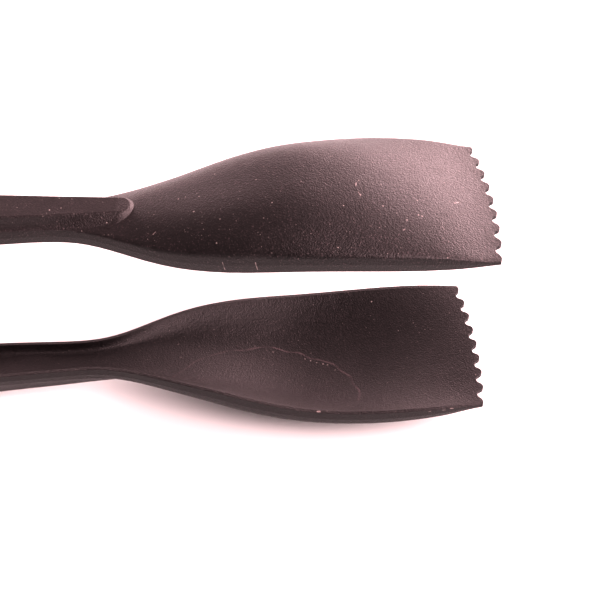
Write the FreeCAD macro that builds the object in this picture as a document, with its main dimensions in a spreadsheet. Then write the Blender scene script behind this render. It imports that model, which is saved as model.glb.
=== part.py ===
# Two-armed spudger: two mirrored moulded arms with toothed scoop blades,
# joined at the tail by a sprung hinge, with a hanging ring. Millimetres, +Z up,
# +X toward the blade tips. Blade stations are measured back from the tip line.
import math
import os

import FreeCAD
import Part
import Sketcher  # noqa: F401  (registers the sketch type)

V = FreeCAD.Vector
R = FreeCAD.Rotation
os.makedirs("parts", exist_ok=True)
doc = FreeCAD.newDocument("spudger")

# ---------------------------------------------------------------- sizes
S = doc.addObject("Spreadsheet::Sheet", "Sizes")
SIZES = [
    ("tip_line_x", 87.110, "tip line, forward of the centre of the tool"),
    ("mid_height", 22.900, "mid plane between the arms, above the surface"),
    ("hinge_back", 160.0, "hinge axis, behind the tip line"),
    ("pin_dia", 3.0, "hinge pin"),
    ("pin_head_dia", 5.6, "head of the hinge pin"),
    ("pin_head_thick", 1.1, "head of the hinge pin"),
    ("cheek_bore", 3.02, "bore in the lower arm's cheeks, a press on the pin"),
    ("tongue_bore", 3.14, "bore in the upper arm's cheeks, a running fit"),
    ("tail_width", 14.0, "over the outer cheeks"),
    ("cup_gap", 10.0, "between the outer cheeks"),
    ("tongue_width", 8.8, "over the inner cheeks"),
    ("coil_gap", 4.8, "between the inner cheeks"),
    ("cup_outer_r", 7.5, "outside of the hinge cup"),
    ("cup_inner_r", 5.75, "inside of the hinge cup"),
    ("knuckle_r", 5.3, "inner cheeks round the pin"),
    ("tab_width", 4.0, "hanging tab"),
    ("tab_r", 4.0, "hanging tab"),
    ("ring_hole_dia", 3.6, "hole for the hanging ring"),
    ("ring_hole_back", 171.5, "hole for the ring, behind the tip line"),
    ("ring_hole_drop", 1.5, "hole for the ring, below the mid plane"),
    ("ring_r", 7.0, "hanging ring, centre line"),
    ("ring_wire", 1.6, "hanging ring wire"),
    ("washer_dia", 8.0, "thrust washers"),
    ("washer_bore", 3.1, "thrust washers"),
    ("washer_thick", 0.5, "thrust washers"),
    ("bush_dia", 5.0, "spring bush"),
    ("bush_bore", 3.06, "spring bush"),
    ("bush_len", 4.5, "spring bush"),
    ("coil_r", 3.08, "spring coil, centre line"),
    ("spring_wire", 0.9, "spring wire"),
    ("coil_pitch", 0.98, "spring coil"),
    ("leg_len", 19.2, "spring legs"),
    ("nut_dia", 6.4, "push nut"),
    ("nut_thick", 1.0, "push nut"),
    ("tooth_pitch", 3.58, "serrations across the tip"),
    ("notch_r", 0.98, "serration notches"),
    ("tip_bulge", 1.12, "tip line, centre ahead of the corners"),
]
for row, (name, value, note) in enumerate(SIZES, start=1):
    S.set("A%d" % row, name)
    S.set("B%d" % row, "%g" % value)
    S.set("C%d" % row, note)
    S.setAlias("B%d" % row, name)
doc.recompute()
s = {name: value for name, value, note in SIZES}


def X(back):
    """x of a point this far behind the tip line (negative is behind)."""
    return back + s["tip_line_x"]


def Z(up):
    """z of a point this far above the plane midway between the arms."""
    return up + s["mid_height"]


AX, AZ = X(-s["hinge_back"]), Z(0)

# back, rim height off the mid plane, half width, wall height, outer depth, inner
# depth, sharpness of the inner section
TABLE = [
    (-153.0, 7.80, 6.55, 2.30, 2.70, 2.00, 12.0),
    (-151.6, 8.60, 7.00, 2.90, 3.40, 2.10, 12.0),
    (-146.0, 11.75, 7.00, 2.85, 3.30, 2.05, 12.0),
    (-139.0, 14.75, 6.90, 2.70, 3.10, 1.95, 12.0),
    (-131.0, 16.85, 6.62, 2.55, 2.95, 1.85, 12.0),
    (-122.0, 17.45, 6.20, 2.45, 2.85, 1.80, 12.0),
    (-112.0, 17.00, 5.66, 2.40, 2.80, 1.75, 12.0),
    (-101.0, 16.05, 5.08, 2.36, 2.75, 1.75, 12.0),
    (-90.0, 15.05, 4.58, 2.34, 2.75, 1.75, 12.0),
    (-80.0, 14.56, 4.15, 2.32, 2.75, 1.72, 12.0),
    (-74.0, 14.49, 3.86, 2.32, 2.75, 1.72, 12.0),
    (-69.0, 14.36, 3.69, 2.35, 2.80, 1.72, 11.0),
    (-65.0, 14.16, 3.93, 2.40, 2.95, 1.76, 9.5),
    (-61.0, 13.88, 4.95, 2.45, 3.42, 1.98, 7.0),
    (-57.0, 13.52, 6.55, 2.55, 4.15, 2.50, 4.8),
    (-53.0, 13.28, 8.32, 2.64, 5.00, 3.18, 3.5),
    (-49.0, 13.26, 9.90, 2.74, 5.82, 3.85, 2.9),
    (-45.0, 13.49, 11.22, 2.88, 6.60, 4.50, 2.5),
    (-40.0, 14.10, 12.66, 3.00, 7.22, 5.12, 2.25),
    (-35.0, 14.84, 13.80, 2.92, 7.50, 5.44, 2.15),
    (-30.0, 15.44, 14.67, 2.76, 7.425, 5.42, 2.1),
    (-25.0, 15.72, 15.26, 2.70, 7.03, 5.12, 2.05),
    (-20.0, 15.74, 15.62, 2.68, 6.45, 4.66, 2.0),
    (-15.0, 15.60, 15.77, 2.62, 5.52, 3.84, 2.0),
    (-10.0, 15.44, 15.74, 2.32, 4.24, 2.74, 2.0),
    (-6.5, 15.38, 15.60, 1.86, 3.12, 1.88, 2.0),
    (-3.5, 15.40, 15.38, 1.18, 2.06, 1.09, 2.0),
    (-1.0, 15.44, 15.15, 0.64, 1.26, 0.50, 2.0),
    (2.4, 15.52, 14.90, 0.46, 0.76, 0.14, 2.0),
]
# back, height of the flat top off the mid plane, half width of the top
SPINE = [
    (-151.9, 14.30, 4.30),
    (-150.4, 15.95, 4.56),
    (-146.0, 18.70, 4.60),
    (-139.0, 21.46, 4.55),
    (-131.0, 22.90, 4.42),
    (-122.0, 23.12, 4.20),
    (-112.0, 22.70, 3.92),
    (-101.0, 21.56, 3.58),
    (-90.0, 20.22, 3.22),
    (-80.0, 19.30, 2.98),
    (-74.0, 18.97, 2.80),
    (-69.0, 18.74, 2.54),
    (-65.0, 18.60, 2.33),
    (-61.0, 18.46, 2.12),
    (-57.85, 18.38, 1.95),
]
LIP = 0.62
# back, fullness of the outer face: 2 is a parabola across, more is fuller toward the rims
FULL = [(-153.0, 2.0), (-61.0, 2.0), (-57.0, 2.25), (-53.0, 2.7), (-49.0, 3.1), (-45.0, 3.4), (-40.0, 3.5), (-35.0, 3.3),
        (-30.0, 3.0), (-25.0, 2.6), (-20.0, 2.3), (-15.0, 2.1), (-10.0, 2.0), (2.4, 2.0)]


def lerp(rows, at, col):
    for a, b in zip(rows, rows[1:]):
        if a[0] <= at <= b[0]:
            t = (at - a[0]) / (b[0] - a[0])
            return a[col] + t * (b[col] - a[col])
    raise ValueError(at)


def spline(points):
    c = Part.BSplineCurve()
    c.interpolate([V(p[0], p[1], 0) for p in points])
    return c


def lines(points, close=True):
    pts = [V(p[0], p[1], 0) for p in points]
    out = [Part.LineSegment(a, b) for a, b in zip(pts, pts[1:])]
    if close:
        out.append(Part.LineSegment(pts[-1], pts[0]))
    return out


ACROSS = R(V(1, 1, 1), 120)      # sketch x along Y, sketch y along Z
ALONG = R(V(1, 0, 0), 90)        # sketch x along X, sketch y along Z


def sketch(body, name, geometry, base, rotation):
    sk = body.newObject("Sketcher::SketchObject", name)
    sk.Placement = FreeCAD.Placement(base, rotation)
    sk.addGeometry(geometry, False)
    return sk


def section_at(body, name, geometry, back):
    """A cross section this far behind the tip line, drawn about the mid plane."""
    sk = sketch(body, name, geometry, V(X(back), 0, Z(0)), ACROSS)
    sk.setExpression("Placement.Base.x", "Sizes.tip_line_x - %g" % -back)
    sk.setExpression("Placement.Base.z", "Sizes.mid_height")
    return sk


def outer_section(row):
    back, h, w, tk, out, deep, m = row
    f = min(1.0, tk / 2.5)
    wp, zp = w + 0.08 * f, 0.50 * tk              # parting line
    wq, zq = w - 0.12 * f, 0.86 * tk              # foot of the drafted outer half
    q = lerp(FULL, back, 1)
    r = min(0.50 * f, 0.3 * w)
    half = []
    for a in (0, 14, 30, 48, 68, 90):
        y = wq - r * (1 - math.cos(math.radians(a)))
        n = zq + (tk - zq) * math.sin(math.radians(a))
        half.append((y, n + (out - tk) * (1 - (y / wq) ** q)))
    yr = wq - r
    for t in (0.86, 0.70, 0.52, 0.34, 0.17):
        y = yr * t
        half.append((y, tk + (out - tk) * (1 - (y / wq) ** q)))
    curve = half + [(0.0, out)] + [(-y, n) for y, n in reversed(half)]
    g = lines([(-wq, -h - zq), (-wp, -h - zp), (-w, -h), (w, -h), (wp, -h - zp), (wq, -h - zq)], False)
    g.append(spline([(y, -h - n) for y, n in curve]))
    return g


def inner_section(row):
    back, h, w, tk, out, deep, m = row
    lip = LIP * (1.0 if tk > 1.5 else 0.55 + 0.3 * tk)
    wi = w - lip
    half = []
    for t in (1.0, 0.985, 0.965, 0.93, 0.88, 0.80, 0.68, 0.52, 0.34, 0.17):
        half.append((wi * t, deep * (1 - t ** m)))
    curve = half + [(0.0, deep)] + [(-y, n) for y, n in reversed(half)]
    g = lines([(-wi, -h), (-wi, -h + 0.9), (wi, -h + 0.9), (wi, -h)], False)
    g.append(spline([(y, -h - n) for y, n in curve]))
    return g


def outer_face(back, y):
    """Depth of the outer face below the rim line, at this station."""
    w, tk, out = (lerp(TABLE, back, k) for k in (2, 3, 4))
    return tk + (out - tk) * (1 - (min(abs(y), w) / w) ** lerp(FULL, back, 1))


def flank(back, top, wt):
    """Side of the spine: a small edge radius, then a hollow slope to the face."""
    h = lerp(TABLE, back, 1)
    most = 1.45 + 0.85 * max(0.0, min(1.0, (back + 69.0) / 11.0))
    run = max(0.55, min(most, lerp(TABLE, back, 2) - 0.16 - wt))
    end = h + outer_face(back, wt + run) - 0.10
    drop = top - end
    pts = [(wt - 0.22, top), (wt - 0.03, top - 0.07)]
    for k in (0.08, 0.2, 0.38, 0.6, 0.8, 1.0):
        pts.append((wt + run * k, top - drop * (1 - (1 - k) ** 1.7) * 0.96 - 0.04 * drop))
    return pts, h + 1.35


def spine_section(row):
    back, top, wt = row
    pts, foot = flank(back, top, wt)
    last = pts[-1]
    g = lines([(last[0], -last[1]), (last[0] - 0.35, -foot), (-last[0] + 0.35, -foot), (-last[0], -last[1])], False)
    g.append(spline([(-y, -n) for y, n in reversed(pts)]))
    g.append(Part.LineSegment(V(-pts[0][0], -top, 0), V(pts[0][0], -top, 0)))
    g.append(spline([(y, -n) for y, n in pts]))
    return g


# ---------------------------------------------------------------- arm moulding
arm = doc.addObject("PartDesign::Body", "ArmMoulding")
outers = [section_at(arm, "Outer%02d" % i, outer_section(r), r[0]) for i, r in enumerate(TABLE)]
loft = arm.newObject("PartDesign::AdditiveLoft", "OuterForm")
loft.Profile = outers[0]
loft.Sections = outers[1:]
doc.recompute()
spines = [section_at(arm, "Spine%02d" % i, spine_section(r), r[0]) for i, r in enumerate(SPINE)]
ridge = arm.newObject("PartDesign::AdditiveLoft", "SpineForm")
ridge.Profile = spines[0]
ridge.Sections = spines[1:]
doc.recompute()
# rounded nose, turned to the same profile as the spine's sides
nose_x, nose_top, nose_half = SPINE[-1]
pts, nose_foot = flank(nose_x, nose_top, nose_half)
ns = arm.newObject("Sketcher::SketchObject", "NoseSection")
ns.Placement = FreeCAD.Placement(V(X(nose_x), 0, Z(0)), ALONG)
ns.addGeometry([
    Part.LineSegment(V(0, -nose_top, 0), V(pts[0][0], -nose_top, 0)),
    spline([(y, -n) for y, n in pts]),
    Part.LineSegment(V(pts[-1][0], -pts[-1][1], 0), V(pts[-1][0] - 0.35, -nose_foot, 0)),
    Part.LineSegment(V(pts[-1][0] - 0.35, -nose_foot, 0), V(0, -nose_foot, 0)),
    Part.LineSegment(V(0, -nose_foot, 0), V(0, -nose_top, 0))], False)
nose = arm.newObject("PartDesign::Revolution", "SpineNose")
nose.Profile = ns
nose.ReferenceAxis = (ns, ["V_Axis"])
nose.Angle = 360.0
doc.recompute()
inners = [section_at(arm, "Inner%02d" % i, inner_section(r), r[0]) for i, r in enumerate(TABLE)]
hollow = arm.newObject("PartDesign::SubtractiveLoft", "InnerForm")
hollow.Profile = inners[0]
hollow.Sections = inners[1:]
doc.recompute()


# the heel is flat where the tool rests on it
fs = sketch(arm, "HeelLine", lines([(X(-150), Z(-s["mid_height"])), (X(-60), Z(-s["mid_height"])), (X(-60), Z(-s["mid_height"] - 5)), (X(-150), Z(-s["mid_height"] - 5))]), V(0, 0, 0), ALONG)
heel = arm.newObject("PartDesign::Pocket", "HeelFlat")
heel.Profile = fs
try:
    heel.SideType = "Symmetric"
except Exception:
    heel.Midplane = True
heel.Length = 20.0
doc.recompute()


# serrated tip: everything beyond the toothed line is taken off
def crest(y):
    return s["tip_bulge"] * (1 - (y / 15.0) ** 2)


def toothed_line():
    """Nine rounded teeth: arcs through the notch bottoms with small round crests."""
    p, rn = s["tooth_pitch"], s["notch_r"]
    geo, last = [], (crest(16.6) + 0.02, 16.6)
    first = last
    for k in range(8):
        yc = p * (3.5 - k)
        xc = crest(yc) + 0.06
        slope = math.atan2(-(crest(yc + 0.1) - crest(yc - 0.1)) / 0.2, 1.0)
        spread = math.radians(62)
        mid = math.pi + slope

        def at(a):
            return (xc + rn * math.cos(a), yc + rn * math.sin(a))

        a0, a1 = at(mid - spread), at(mid + spread)
        if a0[1] < a1[1]:
            a0, a1 = a1, a0
        am = at(mid)
        # crest between the previous notch and this one
        if k == 0:
            ym = p * 4
            cm = (crest(14.35) + 0.05, 14.35)
            geo.append(Part.LineSegment(V(last[0], last[1], 0), V(crest(15.0) - 0.10, 15.0, 0)))
            geo.append(Part.Arc(V(crest(15.0) - 0.10, 15.0, 0), V(cm[0], cm[1], 0), V(a0[0], a0[1], 0)))
        else:
            ym = p * (4 - k)
            cm = (crest(ym) + 0.16, ym)
            geo.append(Part.Arc(V(last[0], last[1], 0), V(cm[0], cm[1], 0), V(a0[0], a0[1], 0)))
        geo.append(Part.Arc(V(a0[0], a0[1], 0), V(am[0], am[1], 0), V(a1[0], a1[1], 0)))
        last = a1
    geo.append(Part.Arc(V(last[0], last[1], 0), V(crest(14.35) + 0.05, -14.35, 0), V(crest(15.0) - 0.10, -15.0, 0)))
    geo.append(Part.LineSegment(V(crest(15.0) - 0.10, -15.0, 0), V(first[0], -first[1], 0)))
    geo += lines([(first[0], -first[1]), (6.0, -first[1]), (6.0, first[1]), (first[0], first[1])], False)
    return geo


ts = sketch(arm, "ToothLine", toothed_line(), V(X(0), 0, Z(0)), R())
ts.setExpression("Placement.Base.x", "Sizes.tip_line_x")
teeth = arm.newObject("PartDesign::Pocket", "TipTeeth")
teeth.Profile = ts
teeth.Type = "ThroughAll"
doc.recompute()
if teeth.Shape.isNull() or abs(teeth.Shape.Volume - heel.Shape.Volume) < 1e-3:
    teeth.Reversed = True
    doc.recompute()
arm.Tip = teeth
doc.recompute()


def symmetric(feature, alias):
    try:
        feature.SideType = "Symmetric"
    except Exception:
        feature.Midplane = True
    feature.setExpression("Length", "Sizes.%s" % alias)


def polar(r, deg):
    a = math.radians(deg)
    return (AX + r * math.cos(a), AZ + r * math.sin(a))


def arc3(p0, pm, p1):
    return Part.Arc(V(p0[0], p0[1], 0), V(pm[0], pm[1], 0), V(p1[0], p1[1], 0))


def seg(p0, p1):
    return Part.LineSegment(V(p0[0], p0[1], 0), V(p1[0], p1[1], 0))


def circle(cx, cz, dia):
    return [Part.Circle(V(cx, cz, 0), V(0, 0, 1), dia / 2)]


J = -148.6                                      # where the tails run into the arms
rim_j, out_j, floor_j = lerp(TABLE, J, 1), lerp(TABLE, J, 1) + 3.1, lerp(TABLE, J, 1) + 2.15

# ---------------------------------------------------------------- lower tail
low = doc.addObject("PartDesign::Body", "LowerTail")
ro, ri = s["cup_outer_r"], s["cup_inner_r"]
b0, c0 = polar(ro, -6), polar(ro, -116)
d0, a0 = (X(J), Z(-out_j)), (X(J), Z(-rim_j))
cheeks_sk = sketch(low, "CheekOutline", [seg(a0, b0), arc3(b0, polar(ro, 120), c0), seg(c0, d0), seg(d0, a0)], V(0, 0, 0), ALONG)
cheeks = low.newObject("PartDesign::Pad", "Cheeks")
cheeks.Profile = cheeks_sk
symmetric(cheeks, "tail_width")
doc.recompute()
hx, hz = X(-s["ring_hole_back"]), Z(-s["ring_hole_drop"])
tr = s["tab_r"]
p = [(hx + 5.6, hz + tr), (hx, hz + tr), (hx, hz - tr), (hx + 9.0, hz - tr)]
tab_sk = sketch(low, "TabOutline", [seg(p[0], p[1]), arc3(p[1], (hx - tr, hz), p[2]), seg(p[2], p[3]), seg(p[3], p[0])], V(0, 0, 0), ALONG)
tab = low.newObject("PartDesign::Pad", "HangingTab")
tab.Profile = tab_sk
symmetric(tab, "tab_width")
doc.recompute()
lip_z = 4.2
q0 = (AX - math.sqrt(ri ** 2 - lip_z ** 2), AZ + lip_z)
q1 = polar(ri, -116)
cup_sk = sketch(low, "CupOutline", [
    arc3(q0, polar(ri, 200), q1), seg(q1, (X(J), Z(-floor_j))), seg((X(J), Z(-floor_j)), (X(J + 4), Z(-floor_j))),
    seg((X(J + 4), Z(-floor_j)), (X(J + 4), Z(10))), seg((X(J + 4), Z(10)), (AX - 12, Z(10))),
    seg((AX - 12, Z(10)), (AX - 12, AZ + lip_z)), seg((AX - 12, AZ + lip_z), q0)], V(0, 0, 0), ALONG)
cup = low.newObject("PartDesign::Pocket", "CupSpace")
cup.Profile = cup_sk
symmetric(cup, "cup_gap")
doc.recompute()
bore_sk = sketch(low, "PinBoreOutline", circle(AX, AZ, s["cheek_bore"]), V(0, 0, 0), ALONG)
k = bore_sk.addConstraint(Sketcher.Constraint("Diameter", 0, s["cheek_bore"]))
bore_sk.setExpression("Constraints[%d]" % k, "Sizes.cheek_bore")
bore = low.newObject("PartDesign::Pocket", "PinBore")
bore.Profile = bore_sk
symmetric(bore, "tail_width")
doc.recompute()
hole_sk = sketch(low, "RingHoleOutline", circle(hx, hz, s["ring_hole_dia"]), V(0, 0, 0), ALONG)
k = hole_sk.addConstraint(Sketcher.Constraint("Diameter", 0, s["ring_hole_dia"]))
hole_sk.setExpression("Constraints[%d]" % k, "Sizes.ring_hole_dia")
hole = low.newObject("PartDesign::Pocket", "RingHole")
hole.Profile = hole_sk
symmetric(hole, "tail_width")
doc.recompute()


def soften(body, base, name, radius, want):
    """Round the edges of the last feature that pass the test."""
    names = ["Edge%d" % (i + 1) for i, e in enumerate(base.Shape.Edges) if want(e)]
    f = body.newObject("PartDesign::Fillet", name)
    f.Base = (base, names)
    f.Radius = radius
    doc.recompute()
    if "Invalid" in f.State or "Error" in f.State or f.Shape.isNull() or not f.Shape.isValid():
        body.removeObject(f)
        doc.removeObject(f.Name)
        body.Tip = base
        doc.recompute()
        print("not rounded:", name)
        return base
    return f


def flat_at(e, y, tol=1e-4):
    bb = e.BoundBox
    return abs(abs(bb.YMin) - y) < tol and abs(bb.YMax - bb.YMin) < tol


def knuckle_edge(e):
    return flat_at(e, s["tail_width"] / 2) and not (e.Curve.TypeId == "Part::GeomCircle" and e.Curve.Radius < 3) and e.BoundBox.XMin < X(J) - 0.5


low_last = soften(low, hole, "CheekEdges", 0.7, knuckle_edge)
low.Tip = low_last
doc.recompute()

# ---------------------------------------------------------------- upper tail
up = doc.addObject("PartDesign::Body", "UpperTail")
rk = s["knuckle_r"]
toe_z = 4.52
u0 = polar(rk, 20)
u1 = (AX - math.sqrt(rk ** 2 - toe_z ** 2), AZ + toe_z)
pts = [u1, (AX - 6.8, AZ + toe_z), (AX - 6.8, AZ + 5.7), (AX - 5.9, AZ + 6.5), (AX - 2.0, AZ + 7.1), (X(J), Z(out_j)), (X(J), Z(rim_j)), u0]
tongue_sk = sketch(up, "TongueOutline", [arc3(u0, polar(rk, 270), u1)] + lines(pts, False), V(0, 0, 0), ALONG)
tongue = up.newObject("PartDesign::Pad", "Tongue")
tongue.Profile = tongue_sk
symmetric(tongue, "tongue_width")
doc.recompute()
coil_sk = sketch(up, "CoilSpaceOutline", lines([
    (AX - 9, AZ - 9), (AX - 9, AZ + 3.8), (AX - 2.8, AZ + 3.8), (AX - 2.0, AZ + 4.8), (X(J), Z(floor_j)), (X(J + 4), Z(floor_j)), (X(J + 4), AZ - 9)]), V(0, 0, 0), ALONG)
coil_space = up.newObject("PartDesign::Pocket", "CoilSpace")
coil_space.Profile = coil_sk
symmetric(coil_space, "coil_gap")
doc.recompute()
ubore_sk = sketch(up, "TongueBoreOutline", circle(AX, AZ, s["tongue_bore"]), V(0, 0, 0), ALONG)
k = ubore_sk.addConstraint(Sketcher.Constraint("Diameter", 0, s["tongue_bore"]))
ubore_sk.setExpression("Constraints[%d]" % k, "Sizes.tongue_bore")
ubore = up.newObject("PartDesign::Pocket", "TongueBore")
ubore.Profile = ubore_sk
symmetric(ubore, "tail_width")
doc.recompute()

# ---------------------------------------------------------------- the two arms
lower = doc.addObject("Part::MultiFuse", "LowerArm")
lower.Shapes = [arm, low]
mirror = doc.addObject("Part::Mirroring", "UpperMoulding")
mirror.Source = arm
mirror.Normal = V(0, 0, 1)
mirror.Base = V(0, 0, s["mid_height"])
mirror.setExpression("Base.z", "Sizes.mid_height")
upper = doc.addObject("Part::MultiFuse", "UpperArm")
upper.Shapes = [mirror, up]
doc.recompute()


# ---------------------------------------------------------------- hinge parts
def turned(name, outline, cx=None, cz=None):
    """A turned piece about an axis along Y; the outline is (y, radius) pairs."""
    body = doc.addObject("PartDesign::Body", name)
    sk = body.newObject("Sketcher::SketchObject", name + "Outline")
    # sketch x along Y, sketch y along Z, set on the hinge axis
    sk.Placement = FreeCAD.Placement(V(AX if cx is None else cx, 0, AZ if cz is None else cz), ACROSS)
    sk.addGeometry(lines(outline), False)
    sk.setExpression("Placement.Base.x", "Sizes.tip_line_x - Sizes.hinge_back")
    sk.setExpression("Placement.Base.z", "Sizes.mid_height")
    rev = body.newObject("PartDesign::Revolution", name + "Form")
    rev.Profile = sk
    rev.ReferenceAxis = (sk, ["H_Axis"])
    rev.Angle = 360.0
    doc.recompute()
    return body


pr, hr, ht = s["pin_dia"] / 2, s["pin_head_dia"] / 2, s["pin_head_thick"]
tw = s["tail_width"] / 2
pin = turned("HingePin", [
    (-tw - ht, 0), (-tw - ht, hr - 0.9), (-tw - ht + 0.25, hr - 0.35), (-tw - ht + 0.6, hr), (-tw, hr), (-tw, pr),
    (tw + 1.5, pr), (tw + 1.8, pr - 0.3), (tw + 1.8, 0)])
nr, nt = s["nut_dia"] / 2, s["nut_thick"]
nut = turned("PushNut", [
    (tw, pr), (tw + 0.35, pr), (tw + nt, pr + 0.5), (tw + nt, nr - 0.7), (tw + nt - 0.3, nr - 0.2), (tw + 0.3, nr), (tw, nr)])
wr, wb, wt_ = s["washer_dia"] / 2, s["washer_bore"] / 2, s["washer_thick"]
cg = s["cup_gap"] / 2
washer_l = turned("ThrustWasherLeft", [(-cg, wb), (-cg, wr), (-cg + wt_, wr), (-cg + wt_, wb)])
washer_r = turned("ThrustWasherRight", [(cg - wt_, wb), (cg - wt_, wr), (cg, wr), (cg, wb)])
bl, br, bb = s["bush_len"] / 2, s["bush_dia"] / 2, s["bush_bore"] / 2
bush = turned("SpringBush", [(-bl, bb), (-bl, br - 0.2), (-bl + 0.2, br), (bl - 0.2, br), (bl, br - 0.2), (bl, bb)])

# torsion spring: a coil on the bush with one leg down each arm
LEG = 33.0
helix = doc.addObject("Part::Helix", "CoilPath")
turns = (360.0 * 3 + 2 * (90.0 - LEG)) / 360.0
helix.Pitch = s["coil_pitch"]
helix.Height = s["coil_pitch"] * turns
helix.Radius = s["coil_r"]
helix.setExpression("Pitch", "Sizes.coil_pitch")
helix.setExpression("Height", "Sizes.coil_pitch * %.9f" % turns)
helix.setExpression("Radius", "Sizes.coil_r")
a_start = math.radians(270 - LEG)
t_start = math.radians(180 - LEG)
xl = V(math.cos(a_start), 0, math.sin(a_start))
yl = V(math.cos(t_start), 0, math.sin(t_start))
rot = R(xl, yl, V(0, 1, 0), "XYZ")
y_start = -s["coil_pitch"] * turns / 2
helix.Placement = FreeCAD.Placement(V(AX, y_start, AZ), rot)
doc.recompute()
wire_sk = doc.addObject("Sketcher::SketchObject", "WireSection")
start = V(AX, y_start, AZ) + xl * s["coil_r"]
# section plane square to the start of the coil: sketch x along the coil radius
wire_sk.Placement = FreeCAD.Placement(start, R(xl, V(0, 1, 0), yl * -1, "XYZ"))
wire_sk.addGeometry(Part.Circle(V(0, 0, 0), V(0, 0, 1), s["spring_wire"] / 2), False)
k = wire_sk.addConstraint(Sketcher.Constraint("Diameter", 0, s["spring_wire"]))
wire_sk.setExpression("Constraints[%d]" % k, "Sizes.spring_wire")
coil = doc.addObject("Part::Sweep", "Coil")
coil.Sections = [wire_sk]
coil.Spine = (helix, [])
coil.Solid = True
coil.Frenet = True
doc.recompute()
end = V(AX, -y_start, AZ) + V(math.cos(math.radians(90 + LEG)), 0, math.sin(math.radians(90 + LEG))) * s["coil_r"]


def leg(name, at, direction):
    c = doc.addObject("Part::Cylinder", name)
    c.Radius = s["spring_wire"] / 2
    c.Height = s["leg_len"]
    c.setExpression("Radius", "Sizes.spring_wire / 2")
    c.setExpression("Height", "Sizes.leg_len")
    c.Placement = FreeCAD.Placement(at, R(V(0, 0, 1), direction))
    b = doc.addObject("Part::Sphere", name + "Bend")
    b.Radius = s["spring_wire"] / 2
    b.setExpression("Radius", "Sizes.spring_wire / 2")
    b.Placement.Base = at
    e = doc.addObject("Part::Sphere", name + "End")
    e.Radius = s["spring_wire"] / 2
    e.setExpression("Radius", "Sizes.spring_wire / 2")
    e.Placement.Base = at + direction * s["leg_len"]
    return [c, b, e]


cl, sl = math.cos(math.radians(LEG)), math.sin(math.radians(LEG))
pieces = leg("LowerLeg", start, V(cl, 0, -sl)) + leg("UpperLeg", end, V(cl, 0, sl))
spring = doc.addObject("Part::MultiFuse", "TorsionSpring")
spring.Shapes = [coil] + pieces
doc.recompute()

# ---------------------------------------------------------------- hanging ring
ring = doc.addObject("Part::Torus", "HangingRing")
ring.Radius1 = s["ring_r"]
ring.Radius2 = s["ring_wire"] / 2
ring.setExpression("Radius1", "Sizes.ring_r")
ring.setExpression("Radius2", "Sizes.ring_wire / 2")
ring.Placement = FreeCAD.Placement(V(hx, 0, hz - s["ring_r"]), R(V(0, 1, 0), 90))
doc.recompute()

# ---------------------------------------------------------------- export
NODES = {
    "lower_arm": lower, "upper_arm": upper, "hinge_pin": pin, "push_nut": nut,
    "thrust_washer_left": washer_l, "thrust_washer_right": washer_r,
    "spring_bush": bush, "torsion_spring": spring, "hang_ring": ring,
}
bad = [o.Name for o in doc.Objects if "Invalid" in o.State or "Error" in o.State]
if bad:
    raise SystemExit("features in error: %s" % bad)
for node, obj in NODES.items():
    shape = obj.Shape
    if shape.isNull() or not shape.isValid():
        raise SystemExit("bad shape: " + node)
    box = shape.BoundBox
    print("%-20s solids %d vol %.1f x %.3f..%.3f y %.3f..%.3f z %.3f..%.3f" % (
        node, len(shape.Solids), shape.Volume, box.XMin, box.XMax, box.YMin, box.YMax, box.ZMin, box.ZMax))
    shape.exportStep("parts/%s.step" % node)
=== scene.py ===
import math

import bpy
from mathutils import Matrix, Vector


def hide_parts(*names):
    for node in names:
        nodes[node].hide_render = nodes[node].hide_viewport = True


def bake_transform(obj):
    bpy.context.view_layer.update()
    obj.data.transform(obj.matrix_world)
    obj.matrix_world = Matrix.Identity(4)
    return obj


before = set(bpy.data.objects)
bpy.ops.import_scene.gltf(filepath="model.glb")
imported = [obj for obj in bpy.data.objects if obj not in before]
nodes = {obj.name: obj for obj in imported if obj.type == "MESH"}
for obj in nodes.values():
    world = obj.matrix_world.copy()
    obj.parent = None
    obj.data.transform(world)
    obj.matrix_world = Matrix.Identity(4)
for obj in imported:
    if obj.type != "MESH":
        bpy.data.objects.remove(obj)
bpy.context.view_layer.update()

scene = bpy.context.scene

# ------------------------------------------------------------------ camera
TIP_X, MID_Z = 0.08711, 0.0229        # tip line and mid plane between the arms
HINGE = Vector((-0.07289, 0.0, MID_Z))
right = Vector((0.998877, -0.04202802, -0.02187201))
up = Vector((0.04445465, 0.67171848, 0.73947148))
back = right.cross(up).normalized()
up = back.cross(right).normalized()
pos = Vector((-0.03298453635 + TIP_X, -0.14076341, 0.12451467 + MID_Z))
cam_data = bpy.data.cameras.new("camera")
cam_data.sensor_width = 36.0
cam_data.lens = 36.0 * 1119.803 / 600.0
cam_data.clip_start = 0.01
cam_data.clip_end = 40
cam = bpy.data.objects.new("camera", cam_data)
scene.collection.objects.link(cam)
cam.matrix_world = Matrix((
    (right.x, up.x, back.x, pos.x),
    (right.y, up.y, back.y, pos.y),
    (right.z, up.z, back.z, pos.z),
    (0, 0, 0, 1)))
scene.camera = cam


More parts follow.
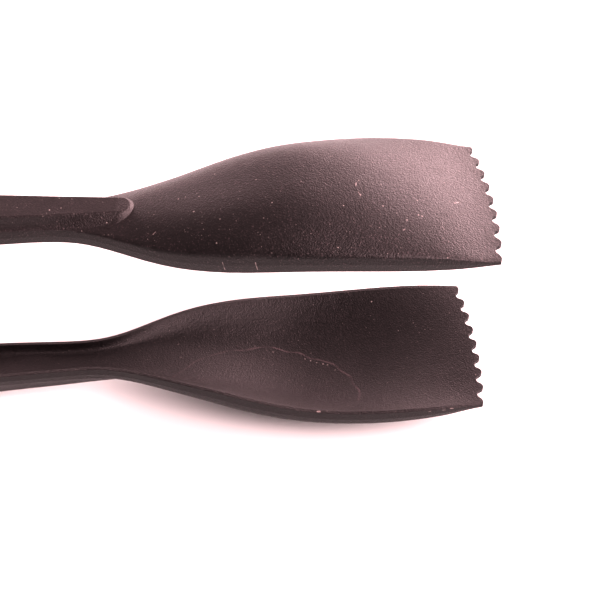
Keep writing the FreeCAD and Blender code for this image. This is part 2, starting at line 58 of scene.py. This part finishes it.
# ------------------------------------------------------------------ node help
class Tree:
    """Short hands for one node tree. Coordinates are millimetres in the part's own frame."""

    def __init__(self, owner):
        owner.use_nodes = True
        self.nt = owner.node_tree
        self.nt.nodes.clear()
        self.mm = None

    def put(self, socket, value):
        if value is None:
            return
        if isinstance(value, bpy.types.NodeSocket):
            self.nt.links.new(value, socket)
        elif isinstance(value, (tuple, list)) and len(value) == 3 and socket.type == "RGBA":
            socket.default_value = (*value, 1.0)
        else:
            socket.default_value = value

    def node(self, kind, props=None, **inputs):
        n = self.nt.nodes.new(kind)
        for k, v in (props or {}).items():
            setattr(n, k, v)
        for k, v in inputs.items():
            self.put(n.inputs[k.replace("_", " ")], v)
        return n

    def math(self, op, a, b=None, c=None, clamp=False):
        n = self.nt.nodes.new("ShaderNodeMath")
        n.operation, n.use_clamp = op, clamp
        for s, v in zip(n.inputs, (a, b, c)):
            self.put(s, v)
        return n.outputs[0]

    def add(self, a, b):
        return self.math("ADD", a, b)

    def mul(self, a, b):
        return self.math("MULTIPLY", a, b)

    def vec(self, op, a, b=None, scale=None):
        n = self.nt.nodes.new("ShaderNodeVectorMath")
        n.operation = op
        self.put(n.inputs[0], a)
        self.put(n.inputs[1], b)
        if scale is not None:
            self.put(n.inputs["Scale"], scale)
        return n.outputs["Value"] if op in ("LENGTH", "DOT_PRODUCT", "DISTANCE") else n.outputs[0]

    def place(self):
        """Object coordinates in millimetres."""
        if self.mm is None:
            self.mm = self.vec("SCALE", self.node("ShaderNodeTexCoord").outputs["Object"], scale=1000.0)
            self.xyz = self.node("ShaderNodeSeparateXYZ", Vector=self.mm).outputs
        return self.mm

    def noise(self, size, detail=2.0, rough=0.5, at=None, distort=0.0, seed=None):
        """Noise with features about this many millimetres across."""
        at = at or self.place()
        if seed is not None:
            at = self.vec("ADD", at, (seed * 17.3, seed * 5.1, seed * 11.7))
        return self.node("ShaderNodeTexNoise", Vector=at, Scale=1.0 / size, Detail=detail, Roughness=rough, Distortion=distort).outputs["Fac"]

    def ramp(self, x, a, b, lo=0.0, hi=1.0, smooth=True):
        n = self.nt.nodes.new("ShaderNodeMapRange")
        n.interpolation_type = "SMOOTHSTEP" if smooth else "LINEAR"
        n.clamp = True
        for s, v in zip(n.inputs, (x, a, b, lo, hi)):
            self.put(s, v)
        return n.outputs[0]

    def mix(self, f, a, b, blend="MIX"):
        n = self.nt.nodes.new("ShaderNodeMix")
        n.data_type, n.blend_type = "RGBA", blend
        n.clamp_factor = True
        self.put(n.inputs[0], f)
        self.put(n.inputs[6], a)
        self.put(n.inputs[7], b)
        return n.outputs[2]

    def bump(self, height, distance, strength=1.0, normal=None):
        """Height 0 to 1 stands this many millimetres proud."""
        n = self.node("ShaderNodeBump", Height=height, Strength=strength, Distance=abs(distance) / 1000.0)
        n.invert = distance < 0
        self.put(n.inputs["Normal"], normal)
        return n.outputs["Normal"]

    def segment(self, p, q, half, soft):
        """1 on a line from p to q in the part's frame, this wide, fading out."""
        p, q = Vector(p), Vector(q)
        d = q - p
        rel = self.vec("SUBTRACT", self.place(), tuple(p))
        t = self.mul(self.vec("DOT_PRODUCT", rel, tuple(d)), 1.0 / d.length_squared)
        t = self.math("MINIMUM", self.math("MAXIMUM", t, 0.0), 1.0)
        foot = self.vec("SCALE", tuple(d), scale=t)
        dist = self.vec("DISTANCE", rel, foot)
        return self.ramp(dist, half, half + soft, 1.0, 0.0)

    def shader(self, **inputs):
        b = self.node("ShaderNodeBsdfPrincipled")
        for k, v in inputs.items():
            self.put(b.inputs[k.replace("_", " ")], v)
        out = self.node("ShaderNodeOutputMaterial")
        self.nt.links.new(b.outputs[0], out.inputs["Surface"])
        return b


def material(name):
    m = bpy.data.materials.new(name)
    return m, Tree(m)


def dress(obj, mat):
    obj.data.materials.clear()
    obj.data.materials.append(mat)


# ------------------------------------------------------------------ arm plastic
BASE = (0.0052, 0.0038, 0.0040)
LIFT = (0.019, 0.0138, 0.0145)


def arm_material(name, is_upper):
    m, t = material(name)
    mm = t.place()
    x, y, z = t.xyz
    geo = t.node("ShaderNodeNewGeometry")
    nz = t.math("ABSOLUTE", t.node("ShaderNodeSeparateXYZ", Vector=geo.outputs["Normal"]).outputs[2])
    off = t.math("ABSOLUTE", t.math("SUBTRACT", z, MID_Z * 1000.0))      # height off the mid plane

    # polished top of the spine against the spark-eroded rest
    top = t.mul(t.ramp(x, 29.5, 28.5), t.mul(t.ramp(nz, 0.90, 0.985), t.ramp(off, 17.2, 18.0)))
    # painted bounce light: the spine region is made paler in colour, standing in for light bounced up from the floor
    painted_spine_bounce = t.mul(t.ramp(x, 33.0, 30.0), t.ramp(off, 15.0, 17.6))

    # grain: two sizes of pits, and a slow unevenness from moulding; the fine pits also place the painted glints below
    turned = t.node("ShaderNodeVectorRotate", {"rotation_type": "EULER_XYZ"}, Vector=mm, Rotation=(0.62, 0.41, 0.93)).outputs[0]
    pits_and_glints = t.noise(0.27, 2.0, 0.66, at=turned)
    coarse = t.noise(0.55, 1.0, 0.5, at=turned, seed=3)
    grain = t.add(t.mul(pits_and_glints, 0.72), t.mul(coarse, 0.28))
    slow = t.noise(7.0, 2.0, 0.5, seed=5)
    cloud = t.noise(2.2, 3.0, 0.6, seed=7)
    flow = t.noise(1.0, 2.0, 0.6, at=t.vec("MULTIPLY", mm, (0.055, 0.42, 0.42)), seed=2)   # streaks along the blade

    # hairline rubbing marks, mostly along and across the blade
    a = t.noise(1.0, 1.0, 0.5, at=t.vec("MULTIPLY", mm, (0.16, 3.4, 3.4)), distort=0.25, seed=11)
    b = t.noise(1.0, 1.0, 0.5, at=t.vec("MULTIPLY", mm, (2.9, 0.22, 2.9)), distort=0.3, seed=13)
    where = t.noise(5.5, 1.0, 0.5, seed=17)
    hair = t.add(t.ramp(t.math("ABSOLUTE", t.math("SUBTRACT", a, 0.5)), 0.004, 0.012, 1.0, 0.0),
                 t.ramp(t.math("ABSOLUTE", t.math("SUBTRACT", b, 0.5)), 0.003, 0.009, 1.0, 0.0))
    hair = t.mul(hair, t.ramp(where, 0.56, 0.70))

    # single nicks and scratches, then specks of grit that stuck: (centre, radius)
    if is_upper:
        marks = [((81.62, -3.0, 41.0), (82.32, -2.56, 40.76), 0.10), ((45.51, -12.21, 38.8), (45.8, -12.34, 37.4), 0.06),
                 ((50.48, -13.45, 39.5), (50.73, -13.56, 38.2), 0.07), ((34.93, -6.51, 40.15), (35.32, -6.21, 40.38), 0.06),
                 ((66.24, -2.95, 45.14), (66.34, -2.2, 45.14), 0.07), ((66.5, -4.3, 44.95), (66.8, -5.3, 44.85), 0.05),
                 ((72.73, -10.99, 42.52), (72.95, -10.8, 42.5), 0.08)]
        grit = [((66.73, -1.63, 45.12), 0.16), ((66.74, -4.91, 44.87), 0.17), ((41.3, -4.4, 42.59), 0.19), ((75.9, -7.76, 42.43), 0.17),
                ((75.37, -7.63, 42.59), 0.16), ((38.78, -0.45, 42.14), 0.17), ((75.57, -4.35, 42.87), 0.15), ((73.46, -9.0, 42.81), 0.16),
                ((18.75, -1.15, 41.61), 0.16), ((70.03, -6.83, 43.97), 0.16), ((53.33, -6.22, 45.07), 0.15), ((64.02, -7.37, 44.8), 0.14),
                ((51.0, -0.18, 45.04), 0.13), ((44.76, -10.42, 41.12), 0.15), ((62.75, -13.98, 42.17), 0.15), ((42.06, -1.14, 42.97), 0.14),
                ((80.87, -2.86, 41.26), 0.12), ((39.9, -0.37, 42.42), 0.12), ((20.46, -0.68, 41.55), 0.13), ((45.39, -7.21, 43.13), 0.12)]
    else:
        marks = [((59.35, -14.68, 7.29), (59.62, -14.7, 7.29), 0.20), ((70.0, -14.6, 5.0), (71.6, -14.9, 5.1), 0.05),
                 ((30.0, -6.2, 10.5), (31.4, -6.6, 10.2), 0.05), ((81.5, -15.52, 7.46), (81.95, -15.5, 7.44), 0.09),
                 ((80.2, -15.64, 7.28), (80.6, -15.62, 7.28), 0.06), ((77.9, -15.74, 7.21), (78.2, -15.73, 7.21), 0.06)]
        grit = [((70.87, 13.08, 6.23), 0.17), ((87.01, -7.77, 7.2), 0.13), ((58.9, 2.4, 2.1), 0.15), ((57.9, 2.85, 2.2), 0.13),
                ((60.0, 1.9, 2.05), 0.14), ((61.1, 1.49, 2.08), 0.17), ((61.9, 1.2, 2.08), 0.15), ((52.13, 4.15, 3.07), 0.11),
                ((63.2, -0.2, 2.15), 0.12)]
    nick = None
    for p, q, half in marks:
        s = t.segment(p, q, half * 0.5, half)
        nick = s if nick is None else t.math("MAXIMUM", nick, s)
    nick = t.mul(nick, t.ramp(t.noise(0.35, 1.0, 0.5, seed=19), 0.30, 0.46, 0.25, 1.0))
    stuck = None
    for p, half in grit:
        s = t.ramp(t.vec("DISTANCE", mm, p), half * 0.55, half, 1.0, 0.0)
        stuck = s if stuck is None else t.math("MAXIMUM", stuck, s)

    # dust: rare pale specks
    vor = t.node("ShaderNodeTexVoronoi", {"voronoi_dimensions": "3D", "feature": "F1"}, Vector=mm, Scale=1.05, Randomness=1.0)
    pick = t.node("ShaderNodeSeparateColor", Color=vor.outputs["Color"]).outputs
    size = t.ramp(t.mul(pick[1], pick[1]), 0.0, 1.0, 0.055, 0.135, smooth=False)
    speck = t.mul(t.math("LESS_THAN", vor.outputs["Distance"], size), t.ramp(pick[0], 0.30 if is_upper else 0.84, 0.85 if is_upper else 0.95))
    fine = t.node("ShaderNodeTexVoronoi", {"voronoi_dimensions": "3D", "feature": "F1"}, Vector=mm, Scale=1.9, Randomness=1.0)
    pick2 = t.node("ShaderNodeSeparateColor", Color=fine.outputs["Color"]).outputs
    tiny = t.mul(t.math("LESS_THAN", fine.outputs["Distance"], 0.16), t.ramp(pick2[0], 0.55 if is_upper else 0.88, 1.0))
    tiny = t.mul(tiny, 0.60)
    dust = t.mul(t.math("MAXIMUM", speck, tiny), t.ramp(cloud, 0.38, 0.60, 0.30, 1.0))
    dust = t.mul(dust, t.ramp(nz, 0.15, 0.60, 0.15, 1.0))
    dust = t.math("MAXIMUM", dust, stuck)

    # sharp edges, rubbed a little paler and smoother
    soft = t.node("ShaderNodeBevel", {"samples": 6}, Radius=0.00016).outputs["Normal"]
    edge = t.math("SUBTRACT", 1.0, t.vec("DOT_PRODUCT", soft, geo.outputs["Normal"]))
    edge = t.ramp(edge, 0.03, 0.22)
    edge = t.mul(edge, t.ramp(t.noise(1.3, 2.0, 0.6, seed=23), 0.30, 0.62, 0.35, 1.0))

    # colour
    col = t.mix(t.ramp(grain, 0.36, 0.66), tuple(c * 0.72 for c in BASE), tuple(c * 1.42 for c in BASE))
    # painted glints: pale specks on the fine pit peaks, partly real pale grain and partly standing in for facets
    # catching light; stronger on the upper arm
    col = t.mix(t.mul(t.mul(t.ramp(pits_and_glints, 0.57, 0.70), t.ramp(cloud, 0.34, 0.60, 0.3, 1.0)), 0.80 if is_upper else 0.40), col, tuple(c * 3.4 for c in LIFT))
    col = t.mix(t.mul(t.ramp(slow, 0.35, 0.70), 0.35), col, tuple(c * 1.5 for c in BASE))
    col = t.mix(t.mul(t.ramp(flow, 0.45, 0.75), 0.22), col, tuple(c * 1.7 for c in BASE))
    # painted bounce light: paler spine
    col = t.mix(t.mul(painted_spine_bounce, 0.30), col, LIFT)
    col = t.mix(t.mul(edge, 0.55), col, tuple(c * 1.9 for c in LIFT))
    col = t.mix(t.mul(hair, 0.30), col, tuple(c * 1.6 for c in LIFT))
    col = t.mix(t.mul(nick, 0.80), col, (0.28, 0.235, 0.225))

    rough = t.add(0.335, t.mul(t.ramp(grain, 0.3, 0.7), 0.10))
    rough = t.add(rough, t.mul(t.math("SUBTRACT", cloud, 0.5), 0.14))
    rough = t.add(rough, t.mul(top, -0.045))
    rough = t.add(rough, t.mul(hair, -0.06))
    rough = t.add(rough, t.mul(edge, -0.05))

    if not is_upper:
        # faint pale elliptical line in the bowl, with the inside of the ellipse a little paler
        dx, dy = t.math("SUBTRACT", x, 49.9), t.math("SUBTRACT", y, -8.8)
        c, s = math.cos(0.251), math.sin(0.251)
        u = t.mul(t.add(t.mul(dx, c), t.mul(dy, s)), 1 / 16.85)
        v = t.mul(t.math("SUBTRACT", t.mul(dy, c), t.mul(dx, s)), 1 / 13.33)
        rad = t.math("SQRT", t.add(t.mul(u, u), t.mul(v, v)))
        rad = t.add(rad, t.mul(t.math("SUBTRACT", t.noise(6.0, 1.0, 0.5, seed=29), 0.5), 0.16))
        ring = t.ramp(t.math("ABSOLUTE", t.math("SUBTRACT", rad, 1.0)), 0.004, 0.017, 1.0, 0.0)
        inside = t.mul(t.ramp(off, 21.5, 20.9), t.ramp(off, 15.2, 16.0))
        ring = t.mul(t.mul(ring, inside), t.ramp(t.noise(2.6, 2.0, 0.6, seed=31), 0.36, 0.60, 0.25, 1.0))
        ring = t.mul(t.mul(ring, t.ramp(y, -13.0, -9.0)), t.ramp(x, 40.0, 56.0, 0.40, 1.0))
        pale_inside = t.mul(t.mul(t.ramp(rad, 1.0, 0.90), inside), 0.10)
        col = t.mix(t.mul(ring, 0.70), col, tuple(c * 4.2 for c in LIFT))
        col = t.mix(pale_inside, col, LIFT)
        rough = t.add(rough, t.mul(ring, 0.16))
        rough = t.add(rough, t.mul(pale_inside, 0.3))

    col = t.mix(t.mul(dust, 0.80), col, (0.30, 0.265, 0.25))
    rough = t.add(rough, t.mul(dust, 0.3))

    # relief: soft edge, slow waviness, grain, scratches cut in, dust stood on
    n = t.bump(slow, 0.05, 0.5, soft)
    n = t.bump(cloud, 0.012, 0.6, n)
    amount = t.add(1.0, t.mul(top, -0.62))
    n = t.node("ShaderNodeBump", Height=grain, Strength=amount, Distance=0.13 / 1000.0, Normal=n).outputs["Normal"]
    n = t.bump(t.math("MAXIMUM", t.mul(hair, 0.35), nick), -0.012, 0.8, n)
    n = t.bump(dust, 0.02, 0.6, n)
    t.shader(Base_Color=col, Roughness=rough, Normal=n, IOR=1.50, Sheen_Weight=0.05, Sheen_Roughness=0.30)
    return m


plastic_up = arm_material("arm_plastic_upper", True)
plastic_low = arm_material("arm_plastic_lower", False)
dress(nodes["upper_arm"], plastic_up)
dress(nodes["lower_arm"], plastic_low)


# ------------------------------------------------------------------ metals
def axial(t, centre):
    """Distance from the hinge axis and turn round it, in millimetres and radians."""
    t.place()
    x, y, z = t.xyz
    dx, dz = t.math("SUBTRACT", x, centre.x * 1000), t.math("SUBTRACT", z, centre.z * 1000)
    return t.math("SQRT", t.add(t.mul(dx, dx), t.mul(dz, dz))), t.math("ARCTAN2", dz, dx), y


def steel(name, colour, dark, rough, lines, scale, stain, wear=0.0):
    """Bright or dark steel. lines: the relief's pattern; stain: how much dull patches show."""
    m, t = material(name)
    mm = t.place()
    if lines == "turned":
        r, turn, y = axial(t, HINGE)
        v = t.node("ShaderNodeCombineXYZ", X=t.mul(r, scale), Y=t.mul(y, scale), Z=t.mul(turn, 0.35)).outputs[0]
    else:
        v = t.vec("MULTIPLY", mm, (scale, scale, scale))
    groove = t.node("ShaderNodeTexNoise", Vector=v, Scale=1.0, Detail=3.0, Roughness=0.65).outputs["Fac"]
    patch = t.noise(1.1, 3.0, 0.6, seed=37)
    spots = t.noise(0.25, 2.0, 0.7, seed=41)
    scr = t.noise(1.0, 1.0, 0.5, at=t.vec("MULTIPLY", mm, (1.1, 7.0, 5.2)), distort=0.4, seed=43)
    scr = t.ramp(t.math("ABSOLUTE", t.math("SUBTRACT", scr, 0.5)), 0.004, 0.014, 1.0, 0.0)
    soft = t.node("ShaderNodeBevel", {"samples": 4}, Radius=0.00010).outputs["Normal"]
    geo = t.node("ShaderNodeNewGeometry").outputs["Normal"]
    edge = t.ramp(t.math("SUBTRACT", 1.0, t.vec("DOT_PRODUCT", soft, geo)), 0.03, 0.2)
    col = t.mix(t.mul(t.ramp(patch, 0.40, 0.72), stain), colour, dark)
    col = t.mix(t.mul(t.ramp(groove, 0.45, 0.75), 0.30), col, tuple(c * 0.72 for c in colour))
    col = t.mix(t.mul(edge, 0.5 + wear), col, tuple(min(0.9, c * 1.35) for c in colour))
    col = t.mix(t.mul(t.ramp(spots, 0.66, 0.74), 0.35 * stain), col, (0.10, 0.062, 0.040))
    rg = t.add(rough, t.mul(t.ramp(patch, 0.35, 0.70), 0.16 * stain + 0.04))
    rg = t.add(rg, t.mul(t.math("SUBTRACT", groove, 0.5), 0.18))
    rg = t.add(rg, t.mul(scr, 0.10))
    n = t.bump(groove, 0.010, 0.7, soft)
    n = t.bump(scr, -0.004, 0.7, n)
    n = t.bump(spots, 0.006, 0.5, n)
    t.shader(Base_Color=col, Metallic=1.0, Roughness=rg, Normal=n)
    return m


dress(nodes["hinge_pin"], steel("pin_steel_turned", (0.40, 0.47, 0.465), (0.22, 0.245, 0.23), 0.24, "turned", 9.0, 0.55))
dress(nodes["push_nut"], steel("nut_steel_oiled", (0.135, 0.155, 0.155), (0.060, 0.060, 0.053), 0.34, "turned", 5.0, 0.8, 0.25))
spring_mat = steel("spring_wire_drawn", (0.28, 0.325, 0.32), (0.115, 0.115, 0.10), 0.30, "drawn", 3.4, 0.75)
dress(nodes["hang_ring"], steel("ring_nickel", (0.42, 0.49, 0.47), (0.26, 0.275, 0.24), 0.17, "drawn", 2.2, 0.45))


# ------------------------------------------------------------------ acetal
def acetal(name, dirt):
    m, t = material(name)
    r, turn, y = axial(t, HINGE)
    v = t.node("ShaderNodeCombineXYZ", X=t.mul(r, 6.0), Y=t.mul(y, 6.0), Z=t.mul(turn, 0.4)).outputs[0]
    lathe = t.node("ShaderNodeTexNoise", Vector=v, Scale=1.0, Detail=2.0, Roughness=0.6).outputs["Fac"]
    smear = t.noise(1.6, 3.0, 0.6, seed=47)
    grit = t.noise(0.22, 2.0, 0.6, seed=53)
    col = t.mix(t.mul(t.ramp(smear, 0.42, 0.75), dirt), (0.50, 0.55, 0.48), (0.25, 0.245, 0.19))
    col = t.mix(t.mul(t.ramp(lathe, 0.5, 0.8), 0.18), col, (0.41, 0.44, 0.37))
    col = t.mix(t.mul(t.ramp(grit, 0.66, 0.76), 0.4), col, (0.16, 0.13, 0.11))
    rg = t.add(0.36, t.mul(t.ramp(smear, 0.4, 0.7), 0.18))
    soft = t.node("ShaderNodeBevel", {"samples": 4}, Radius=0.00008).outputs["Normal"]
    n = t.bump(lathe, 0.010, 0.7, soft)
    n = t.bump(grit, 0.005, 0.5, n)
    t.shader(Base_Color=col, Roughness=rg, Normal=n, Subsurface_Weight=0.12, Subsurface_Scale=0.0006, IOR=1.48)
    return m


washers = acetal("acetal_washer", 0.5)
dress(nodes["thrust_washer_left"], washers)
dress(nodes["thrust_washer_right"], washers)
dress(nodes["spring_bush"], acetal("acetal_bush", 0.7))

# ------------------------------------------------------------------ spring
# The torsion spring's coil sits between the arms, one leg on each arm; its mesh is copied into a new object with the
# spring wire material and the original is hidden.
src = nodes["torsion_spring"]
coil = bpy.data.objects.new("wound_spring", src.data.copy())
scene.collection.objects.link(coil)
coil.matrix_world = src.matrix_world.copy()
coil.data.materials.clear()
coil.data.materials.append(spring_mat)
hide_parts("torsion_spring")
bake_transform(coil)

# ------------------------------------------------------------------ stage
bpy.ops.mesh.primitive_plane_add(size=16, location=(0, 0, 0))
floor = bpy.context.object
floor.name = "floor"
fm, t = material("floor_paper")
t.shader(Base_Color=(0.79, 0.88, 0.865), Roughness=0.85)
floor.data.materials.append(fm)

# Soft light all round from broad lobes: (azimuth from +X, elevation, sharpness, strength)
TINT = (1.43, 1.0, 1.03)
LOBES = [(-25, 6, 18, 1.37), (-5, 6, 18, 1.78), (15, 6, 18, 2.86), (35, 6, 18, 5.08), (55, 6, 18, 7.37), (75, 6, 18, 2.14),
         (115, 6, 22, 3.40), (135, 6, 18, 1.47), (-28, 26, 18, 6.76), (-1, 26, 18, 1.09), (26, 26, 18, 3.11), (53, 26, 18, 0.70),
         (-48, 44, 20, 8.20), (-18, 46, 14, 1.94), (24, 46, 14, 0.53), (66, 46, 14, 1.32), (108, 46, 14, 0.03), (150, 46, 14, 0.68),
         (70, 68, 12, 0.46), (200, 50, 5, 0.46)]


def lobe_world(lobes, tint, ground):
    world = bpy.data.worlds.new("studio")
    t = Tree(world)
    way = t.node("ShaderNodeTexCoord").outputs["Generated"]
    total = None
    for az, el, sharp, strength in lobes:
        a, e = math.radians(az), math.radians(el)
        d = (math.cos(a) * math.cos(e), math.sin(a) * math.cos(e), math.sin(e))
        f = t.math("EXPONENT", t.mul(t.math("SUBTRACT", t.vec("DOT_PRODUCT", way, d), 1.0), sharp))
        f = t.mul(f, strength)
        total = f if total is None else t.add(total, f)
    total = t.add(total, ground)
    bg = t.node("ShaderNodeBackground", Color=tuple(tint), Strength=total)
    out = t.node("ShaderNodeOutputWorld")
    t.nt.links.new(bg.outputs[0], out.inputs["Surface"])
    return world


scene.world = lobe_world(LOBES, TINT, 0.0)
scene.view_settings.view_transform = "Standard"
scene.view_settings.look = "None"
scene.view_settings.gamma = 0.80
